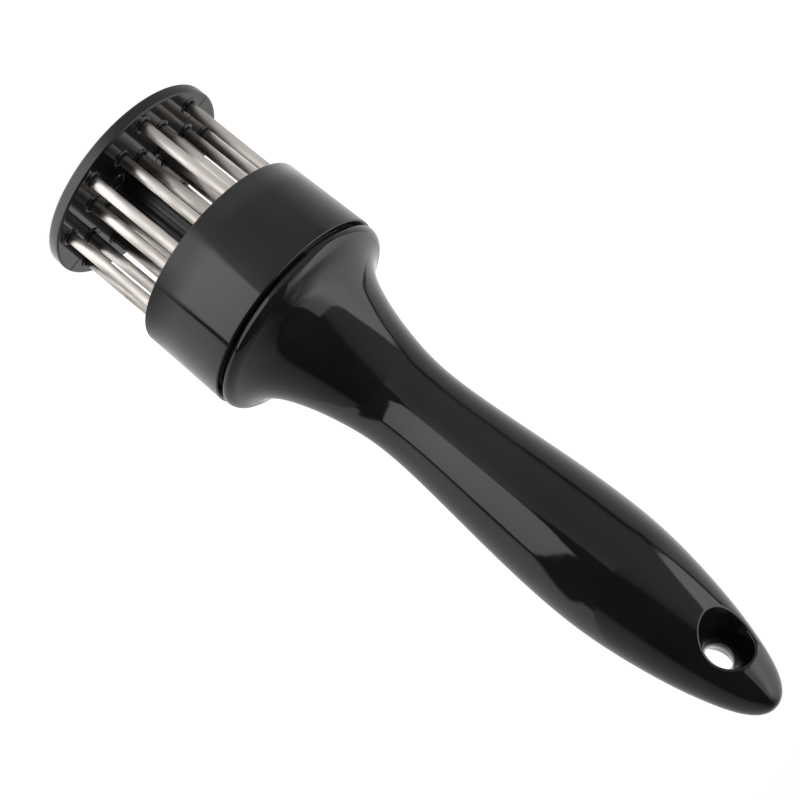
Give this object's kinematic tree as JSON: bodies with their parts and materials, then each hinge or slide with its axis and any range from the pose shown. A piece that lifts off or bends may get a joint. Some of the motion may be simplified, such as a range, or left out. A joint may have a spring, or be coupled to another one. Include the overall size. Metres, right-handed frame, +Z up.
{
  "type": "needle meat tenderizer",
  "caption": "Hand-held press tenderizer: rings of steel needles under a bell-shaped handle, with a spring-loaded guard disc that slides up the needles as they go into the meat.",
  "frame": {"origin": "middle of the guard disc's underside, which the tool stands on", "axes": "+Z up the tool's axis, from the guard disc to the nose of the handle; the hanging hole runs along Y"},
  "size_m": [0.0544, 0.0544, 0.2002],
  "materials": {
    "handle_plastic": "glossy black moulded plastic",
    "head_plastic": "glossy black moulded plastic",
    "guard_plastic": "glossy black moulded plastic",
    "needle_steel": "polished stainless steel",
    "spring_steel": "drawn spring wire",
    "plate_steel": "stamped sheet steel",
    "screw_steel": "plated steel"
  },
  "bodies": {
    "handle_assembly": {"clamp_plate": "plate_steel", "handle": "handle_plastic", "head_screws": "screw_steel", "needle_head": "head_plastic", "needle_inner_1": "needle_steel", "needle_inner_2": "needle_steel", "needle_inner_3": "needle_steel", "needle_inner_4": "needle_steel", "needle_inner_5": "needle_steel", "needle_inner_6": "needle_steel", "needle_inner_7": "needle_steel", "needle_middle_1": "needle_steel", "needle_middle_2": "needle_steel", "needle_middle_3": "needle_steel", "needle_middle_4": "needle_steel", "needle_middle_5": "needle_steel", "needle_middle_6": "needle_steel", "needle_middle_7": "needle_steel", "needle_middle_8": "needle_steel", "needle_outer_1": "needle_steel", "needle_outer_2": "needle_steel", "needle_outer_3": "needle_steel", "needle_outer_4": "needle_steel", "needle_outer_5": "needle_steel", "needle_outer_6": "needle_steel", "needle_outer_7": "needle_steel", "needle_outer_8": "needle_steel", "return_spring": "spring_steel"},
    "guard": {"guard_disc": "guard_plastic", "plunger_post": "guard_plastic", "post_screw": "screw_steel", "stop_washer": "screw_steel", "stop_screw": "screw_steel"}
  },
  "joints": [
    {"name": "guard_slide", "type": "slide", "parent": "handle_assembly", "child": "guard", "axis": [0, 0, 1], "range_m": [0, 0.0275], "stiffness_N_per_m": 300, "springref_m": -0.02, "deforming": ["return_spring"]}
  ]
}
